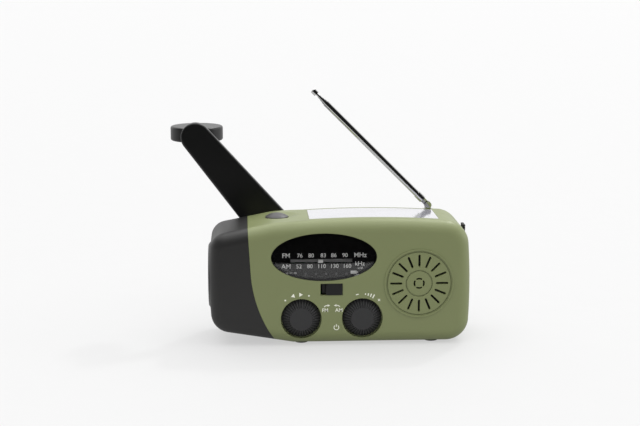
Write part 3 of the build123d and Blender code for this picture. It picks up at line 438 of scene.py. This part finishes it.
class RADIO_OT_finishes(Operator):
    """Give every CAD node its finish"""
    bl_idname = "radio.finishes"
    bl_label = "Finishes"

    def execute(self, context):
        finishes = make_finishes(context.scene.radio_colours)
        for part in frame["record"]["subparts"]:
            node = frame["nodes"][part["node"]]
            node.data.materials.clear()
            node.data.materials.append(finishes[part["material_slot"]])
        return {"FINISHED"}


class RADIO_OT_dial_print(Operator):
    """Print the dial's numbers and marks on the plate behind the window"""
    bl_idname = "radio.dial_print"
    bl_label = "Dial print"

    def execute(self, context):
        sizes = context.scene.radio_sizes
        y = DIAL_Y - PRINT_LIFT
        upper_z = SLOT_Z + 2.65 * MM
        lower_z = SLOT_Z - 2.6 * MM
        lamps_z = lower_z - 3.05 * MM
        bands_x, units_x = -25.9 * MM, 9.4 * MM
        tall = sizes.band_letters
        upper = (("76", -19.4), ("80", -14.0), ("83", -8.2), ("86", -3.2), ("90", 2.1))
        lower = (("52", -19.8), ("80", -14.6), ("110", -9.0), ("130", -2.9), ("160", 3.1))
        marks = [
            print_letters("FM", bands_x, upper_z, y, tall),
            print_letters("AM", bands_x, lower_z, y, tall),
            print_letters("MHz", units_x, upper_z, y, tall),
            print_letters("kHz", units_x - 0.2 * MM, lower_z + 1.1 * MM, y, 0.9 * tall),
            print_letters("x10", units_x, lower_z - 1.0 * MM, y, 0.5 * tall),
        ]
        for row_z, numbers in ((upper_z, upper), (lower_z, lower)):
            for words, x in numbers:
                marks.append(print_letters(words, x * MM, row_z, y, sizes.numbers))
        cell, cap = bar_points(3.0 * MM, 1.6 * MM), bar_points(0.5 * MM, 0.8 * MM)
        marks.append(print_shape(cell, 6.3 * MM, lamps_z, y))
        marks.append(print_shape(cap, 8.1 * MM, lamps_z, y))
        dash = bar_points(1.3 * MM, 0.35 * MM)
        for step in range(3):
            marks.append(print_shape(dash, (-25.6 + 2 * step) * MM, lamps_z, y))
        dress(join_pieces(marks, "dial_marks"), "casing", "dial_print")
        lamps = [
            print_shape(round_points(0.55 * MM), (-21.45 + 4.87 * step) * MM, lamps_z - 0.6 * MM, y)
            for step in range(6)
        ]
        dress(join_pieces(lamps, "dial_lamp_dots"), "casing", "dial_faint")
        return {"FINISHED"}


class RADIO_OT_pointer_band(Operator):
    """Fit the grey band that fills the dial's slot and slides with the pointer"""
    bl_idname = "radio.pointer_band"
    bl_label = "Pointer band"

    def execute(self, context):
        left, right = -45.5 * MM, 15.0 * MM     # its ends while the pointer is at rest
        size = (right - left, 0.2 * MM, 1.7 * MM)
        behind_face = 1.0 * MM                  # the plate's 0.8 mm, and 0.1 mm clear of it
        band = add_block(size, ((left + right) / 2, DIAL_Y + behind_face, SLOT_Z + 0.1 * MM))
        bevel = band.modifiers.new("edge", "BEVEL")
        bevel.width = 0.05 * MM
        bevel.segments = 2
        bpy.ops.object.modifier_apply(modifier="edge")
        band.name = "pointer_band"
        dress(band, "pointer", "dial_slot")
        return {"FINISHED"}


class RADIO_OT_panel_marks(Operator):
    """Print the marks round the knobs and under the band switch"""
    bl_idname = "radio.panel_marks"
    bl_label = "Panel marks"

    def execute(self, context):
        sizes = context.scene.radio_sizes
        y = FRONT_Y - PRINT_LIFT
        marks = self.tuning_marks(sizes, y) + self.volume_marks(sizes, y)
        marks += self.switch_marks(sizes, y) + self.power_mark(sizes.line * 0.9, y)
        dress(join_pieces(marks, "panel_marks"), "casing", "print_white")
        return {"FINISHED"}

    def place(self, sizes, knob, angle):
        """A place on the circle of marks about a knob, as x and z; the angle is in degrees."""
        low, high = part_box(knob)
        centre = (low + high) / 2
        return (
            centre.x + sizes.label_radius * cos(radians(angle)),
            centre.z + sizes.label_radius * sin(radians(angle)),
        )

    def tuning_marks(self, sizes, y):
        """A dot at each end of the tuning knob's turn, and two arrows between them."""
        marks = []
        dot = round_points(0.42 * MM)
        arrow = [(-1.1 * MM, 0), (0.7 * MM, -1.0 * MM), (0.7 * MM, 1.0 * MM)]
        for angle in (129.5, 72.0):
            x, z = self.place(sizes, "tuning_knob", angle)
            marks.append(print_shape(dot, x, z, y))
        for angle, turn in ((109.0, 0.0), (91.0, pi)):
            x, z = self.place(sizes, "tuning_knob", angle)
            marks.append(print_shape(arrow, x, z, y, turn + radians(90 - angle)))
        return marks

    def volume_marks(self, sizes, y):
        """A minus, a plus and four growing bars about the volume knob."""
        minus_angle, plus_angle = 102.0, 48.0
        stroke = bar_points(1.4 * MM, sizes.line)
        x, z = self.place(sizes, "volume_knob", minus_angle)
        marks = [print_shape(stroke, x, z, y, radians(90 - minus_angle))]
        x, z = self.place(sizes, "volume_knob", plus_angle)
        for turn in (0.0, pi / 2):
            marks.append(print_shape(stroke, x, z, y, radians(90 - plus_angle) + turn))
        for step in range(4):
            angle = 83.0 - 6.5 * step
            x, z = self.place(sizes, "volume_knob", angle)
            bar = bar_points(0.55 * MM, (0.7 + 0.45 * step) * MM)
            marks.append(print_shape(bar, x, z, y, radians(90 - angle)))
        return marks

    def switch_marks(self, sizes, y):
        """FM and AM under the band switch, each with a bent arrow that points out to its side."""
        marks = []
        arrow_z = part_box("band_slider")[0].z - 6.2 * MM
        letters_z = arrow_z - 0.9 * MM
        for words, x, flip in (("FM", -7.5, 1), ("AM", -0.9, -1)):
            marks.append(print_letters(words, x * MM, letters_z, y, sizes.switch_letters))
            bend = arc_points(1.5 * MM, sizes.line, radians(75), radians(75), 8)
            head = ((0.3 * MM, 2.1 * MM), (0.3 * MM, 0.9 * MM), (1.5 * MM, 1.5 * MM))
            for outline in (bend, head):
                points = [(flip * px, pz) for px, pz in outline]
                marks.append(print_shape(points, (x + flip * 0.9) * MM, arrow_z, y))
        return marks

    def power_mark(self, line, y):
        """An open ring with a stroke in its gap, beside the volume knob."""
        low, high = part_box("volume_knob")
        x = low.x - 3.2 * MM
        z = (low.z + high.z) / 2 - 4.4 * MM
        ring = arc_points(1.15 * MM, line, radians(125), radians(290), 22)
        stroke = bar_points(line, 1.3 * MM)
        return [print_shape(ring, x, z, y), print_shape(stroke, x, z + 1.0 * MM, y)]


class RADIO_OT_solar_grid(Operator):
    """Lay the solar cell's contact lines"""
    bl_idname = "radio.solar_grid"
    bl_label = "Solar grid"

    def execute(self, context):
        low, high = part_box("solar_cell")
        bays = 6
        size = (0.5 * MM, high.y - low.y, 0.05 * MM)
        y, z = (low.y + high.y) / 2, high.z + 0.03 * MM
        lines = [
            add_block(size, (low.x + (high.x - low.x) * index / bays, y, z))
            for index in range(1, bays)
        ]
        dress(join_pieces(lines, "solar_contacts"), "casing", "chrome")
        return {"FINISHED"}


class RADIO_OT_stage(Operator):
    """Set the floor, the lights and the camera"""
    bl_idname = "radio.stage"
    bl_label = "Stage"

    def execute(self, context):
        scene = context.scene
        stage = scene.radio_stage
        scene.view_settings.view_transform = "Standard"
        scene.view_settings.look = "None"
        self.set_world(scene, stage)
        paper = self.paper()
        split_y = -0.198        # nearer floor than this stays out of reflections
        self.add_floor("floor", paper, split_y, 9.0, True)
        self.add_floor("floor_front", paper, -6.0, split_y, False)
        self.add_sun("side_light", stage.side, radians(40), (0, radians(78), 0))
        self.add_sun("key_light", stage.key, radians(5), (radians(-32), radians(26), 0))
        self.add_sun("soft_light", stage.soft, radians(85), (radians(-4), radians(4), 0))
        self.add_camera(scene, stage)
        return {"FINISHED"}

    def set_world(self, scene, stage):
        """A white room that glossy faces see as dark in front and white behind."""
        world = bpy.data.worlds.new("studio")
        scene.world = world
        world.use_nodes = True
        nodes = world.node_tree.nodes
        links = world.node_tree.links
        background = nodes["Background"]
        path = nodes.new("ShaderNodeLightPath")
        plain = nodes.new("ShaderNodeMath")
        plain.operation = "MAXIMUM"
        links.new(path.outputs["Is Camera Ray"], plain.inputs[0])
        links.new(path.outputs["Is Diffuse Ray"], plain.inputs[1])
        place = nodes.new("ShaderNodeTexCoord")
        split = nodes.new("ShaderNodeSeparateXYZ")
        links.new(place.outputs["Generated"], split.inputs[0])
        ahead = nodes.new("ShaderNodeMapRange")
        ahead.inputs["From Min"].default_value = -0.1
        ahead.inputs["From Max"].default_value = 0.5
        ahead.inputs["To Min"].default_value = 0.012
        ahead.inputs["To Max"].default_value = 1.0
        links.new(split.outputs["Y"], ahead.inputs["Value"])
        mix = nodes.new("ShaderNodeMix")
        mix.inputs["B"].default_value = 1.0
        links.new(plain.outputs[0], mix.inputs["Factor"])
        links.new(ahead.outputs["Result"], mix.inputs["A"])
        strength = nodes.new("ShaderNodeMath")
        strength.operation = "MULTIPLY"
        strength.inputs[1].default_value = stage.ambient
        links.new(mix.outputs["Result"], strength.inputs[0])
        links.new(strength.outputs[0], background.inputs["Strength"])
        background.inputs["Color"].default_value = (1.0, 1.0, 1.0, 1.0)

    def add_floor(self, name, paper, front, back, in_reflections):
        """A sheet of floor, from its front to its back."""
        clear_selection()
        bpy.ops.mesh.primitive_plane_add(size=1.0)
        floor = bpy.context.object
        floor.name = name
        floor.scale = (12.0, back - front, 1)
        floor.location = (0, (front + back) / 2, 0)
        settle(floor)
        floor.visible_glossy = in_reflections
        floor.data.materials.append(paper)

    def paper(self):
        """White paper, lit through from below as far as the camera sees."""
        material = moulded(
            "floor_paper", (0.22, 0.22, 0.22), (0.8, 0.9), grain=400.0, relief=0.0, blotch=0.0
        )
        nodes = material.node_tree.nodes
        path = nodes.new("ShaderNodeLightPath")
        glow = nodes.new("ShaderNodeMapRange")
        glow.inputs["To Min"].default_value = 0.25
        glow.inputs["To Max"].default_value = 0.52
        shader = nodes["Principled BSDF"]
        material.node_tree.links.new(path.outputs["Is Camera Ray"], glow.inputs["Value"])
        material.node_tree.links.new(glow.outputs["Result"], shader.inputs["Emission Strength"])
        shader.inputs["Emission Color"].default_value = (1.0, 1.0, 1.0, 1.0)
        return material

    def add_sun(self, name, strength, spread, turn):
        """A distant light as wide as its spread."""
        data = bpy.data.lights.new(name, "SUN")
        data.energy = strength
        data.angle = spread
        light = bpy.data.objects.new(name, data)
        light.rotation_euler = Euler(turn)
        bpy.context.scene.collection.objects.link(light)

    def add_camera(self, scene, stage):
        """The camera, level from side to side."""
        data = bpy.data.cameras.new("camera")
        data.lens = stage.focal
        data.sensor_width = 36.0
        camera = bpy.data.objects.new("camera", data)
        scene.collection.objects.link(camera)
        forward = Vector((
            sin(stage.yaw) * cos(stage.pitch), cos(stage.yaw) * cos(stage.pitch), -sin(stage.pitch)
        ))
        right = Vector((cos(stage.yaw), -sin(stage.yaw), 0))
        up = right.cross(forward)
        aim = Vector((0, 0, AIM_HEIGHT))
        ray = forward + AIM_RIGHT * right - AIM_DOWN * up
        camera.location = aim - stage.distance * ray
        camera.rotation_euler = Matrix((right, up, -forward)).transposed().to_euler()
        scene.camera = camera


class RADIO_PT_looks(Panel):
    """Lists the radio's operators and settings"""
    bl_label = "Radio"
    bl_idname = "RADIO_PT_looks"
    bl_space_type = "VIEW_3D"
    bl_region_type = "UI"
    bl_category = "Radio"

    def draw(self, context):
        for operator in OPERATORS:
            self.layout.operator(operator.bl_idname)
        for settings in ("radio_colours", "radio_sizes", "radio_stage"):
            group = getattr(context.scene, settings)
            for label in group.__annotations__:
                self.layout.prop(group, label)


OPERATORS = (
    RADIO_OT_stage,
    RADIO_OT_finishes,
    RADIO_OT_dial_print,
    RADIO_OT_pointer_band,
    RADIO_OT_panel_marks,
    RADIO_OT_solar_grid,
)
SETTINGS = (RadioColours, RadioSizes, RadioStage)


def register():
    """Adds the classes and the scene's settings."""
    for kind in SETTINGS + OPERATORS + (RADIO_PT_looks,):
        bpy.utils.register_class(kind)
    bpy.types.Scene.radio_colours = PointerProperty(type=RadioColours)
    bpy.types.Scene.radio_sizes = PointerProperty(type=RadioSizes)
    bpy.types.Scene.radio_stage = PointerProperty(type=RadioStage)


def unregister():
    """Removes the classes and the scene's settings."""
    del bpy.types.Scene.radio_stage
    del bpy.types.Scene.radio_sizes
    del bpy.types.Scene.radio_colours
    for kind in reversed(SETTINGS + OPERATORS + (RADIO_PT_looks,)):
        bpy.utils.unregister_class(kind)


def main():
    """Registers the classes, makes every piece and sets the stage."""
    register()
    bpy.ops.radio.finishes()
    bpy.ops.radio.dial_print()
    bpy.ops.radio.pointer_band()
    bpy.ops.radio.panel_marks()
    bpy.ops.radio.solar_grid()
    bpy.ops.radio.stage()


if __name__ == "__main__":
    main()
